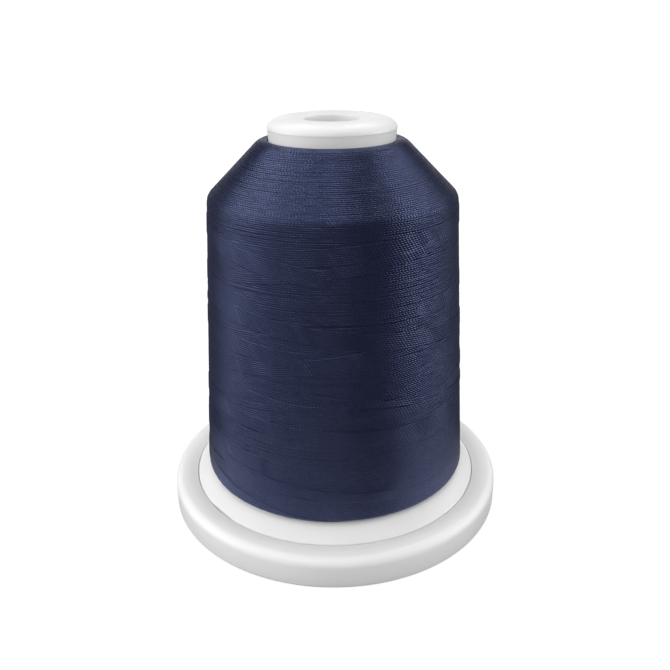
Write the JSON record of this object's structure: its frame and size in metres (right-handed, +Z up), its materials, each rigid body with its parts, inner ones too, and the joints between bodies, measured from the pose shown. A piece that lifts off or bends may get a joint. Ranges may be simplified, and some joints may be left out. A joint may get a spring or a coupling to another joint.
{
  "type": "spool of thread",
  "caption": "Small conical spool of navy embroidery thread on a round white base that pulls open to hold the thread's end, with a bore for a spool pin.",
  "frame": {"origin": "centre of the ring on the base's underside that the spool stands on", "axes": "+Z up along the spool's axis, from the base to the collar; -Y faces the viewer of the picture"},
  "size_m": [0.0508, 0.0508, 0.0579],
  "materials": {
    "base_plastic": "white moulded polypropylene, satin, faintly translucent",
    "spool_plastic": "white moulded polypropylene, satin, faintly translucent",
    "thread": "navy polyester embroidery thread, cross-wound, with a soft lustre"
  },
  "bodies": {
    "base": {"snap_base": "base_plastic"},
    "spool": {"spool_barrel": "spool_plastic", "thread_core": "thread", "thread_outer_layer": "thread"}
  },
  "joints": [
    {"name": "base_pull", "type": "slide", "parent": "base", "child": "spool", "axis": [0, 0, 1], "range_m": [0, 0.003]}
  ]
}
